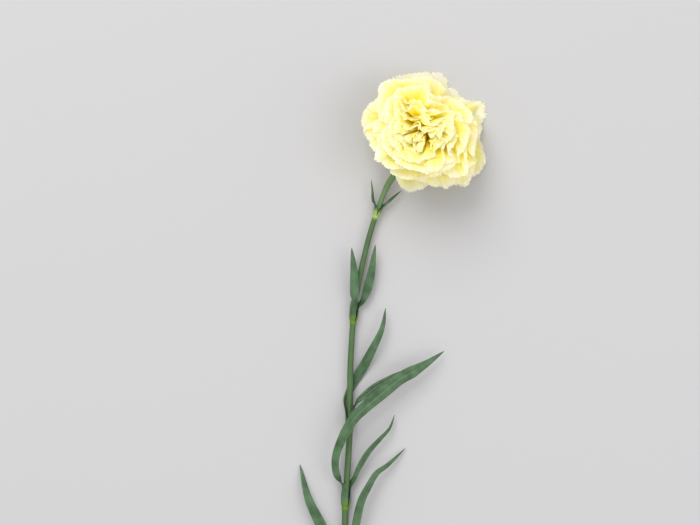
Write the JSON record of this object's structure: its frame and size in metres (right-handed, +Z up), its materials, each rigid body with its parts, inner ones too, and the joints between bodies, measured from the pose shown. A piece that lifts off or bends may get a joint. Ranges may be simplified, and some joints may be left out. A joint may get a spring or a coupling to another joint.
{
  "type": "cut carnation",
  "caption": "Cut carnation lying on a flat surface: a ruffled double bloom with toothed petal edges in a green calyx, on a jointed stem with narrow channelled leaves in pairs.",
  "frame": {"origin": "on the surface that the flower lies on, under the middle of its bounding box", "axes": "+Y along the stem, from the cut end to the bloom; +Z up from the surface; +X to the right, seen from above with the bloom at the top"},
  "size_m": [0.1142, 0.4038, 0.0582],
  "materials": {
    "petal": "matt, thin and translucent",
    "calyx": "satin, faintly ribbed",
    "stem": "satin with a waxy bloom",
    "leaf": "matt with a waxy bloom"
  },
  "bodies": {
    "root": {"stem": "stem", "calyx": "calyx", "epicalyx_bracts": "calyx", "bloom": "petal", "leaf_1_left": "leaf", "leaf_1_right": "leaf", "leaf_2_left": "leaf", "leaf_2_right": "leaf", "leaf_3_right": "leaf", "leaf_3_under": "leaf", "leaf_4_left": "leaf", "leaf_4_right": "leaf", "leaf_5_right": "leaf", "leaf_5_left": "leaf"}
  },
  "joints": []
}
